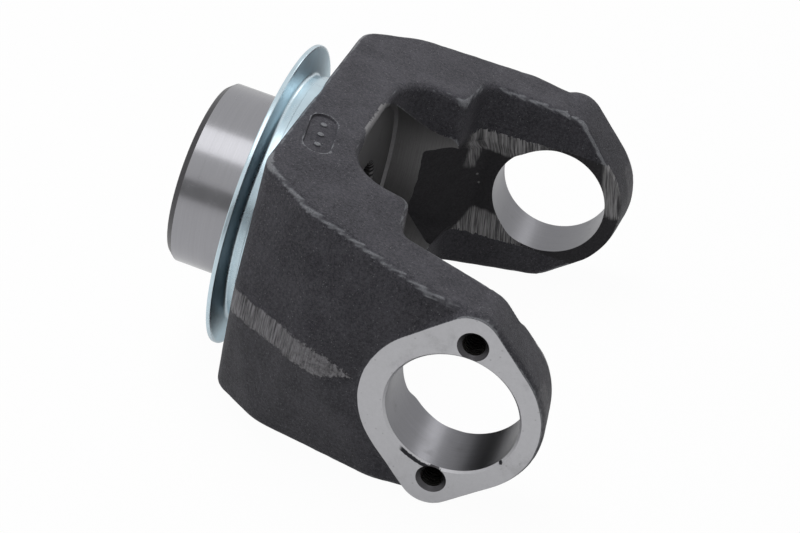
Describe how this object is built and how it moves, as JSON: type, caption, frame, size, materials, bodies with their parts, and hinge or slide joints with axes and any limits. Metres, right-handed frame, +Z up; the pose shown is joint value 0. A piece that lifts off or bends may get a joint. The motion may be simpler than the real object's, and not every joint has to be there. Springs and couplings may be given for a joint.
{
  "type": "drive shaft end yoke",
  "caption": "Forged end yoke for a universal joint: two bored ears on a drafted fork, a splined hub with a ground seal journal, and a pressed dust slinger.",
  "frame": {"origin": "centre of the cross bore axis between the two ears, on the shaft axis", "axes": "+Y along the cross bores, +Z up as it rests, +X toward the ear tips; the shaft axis lies in the XZ plane and rises 11.35 degrees from +X toward the hub end at -X"},
  "size_m": [0.1706, 0.1916, 0.1247],
  "materials": {
    "forged_steel": "shot-blasted forged skin, machined where it fits",
    "zinc_plated_steel": "clear blue zinc"
  },
  "bodies": {
    "root": {"yoke": "forged_steel", "slinger": "zinc_plated_steel"}
  },
  "joints": []
}
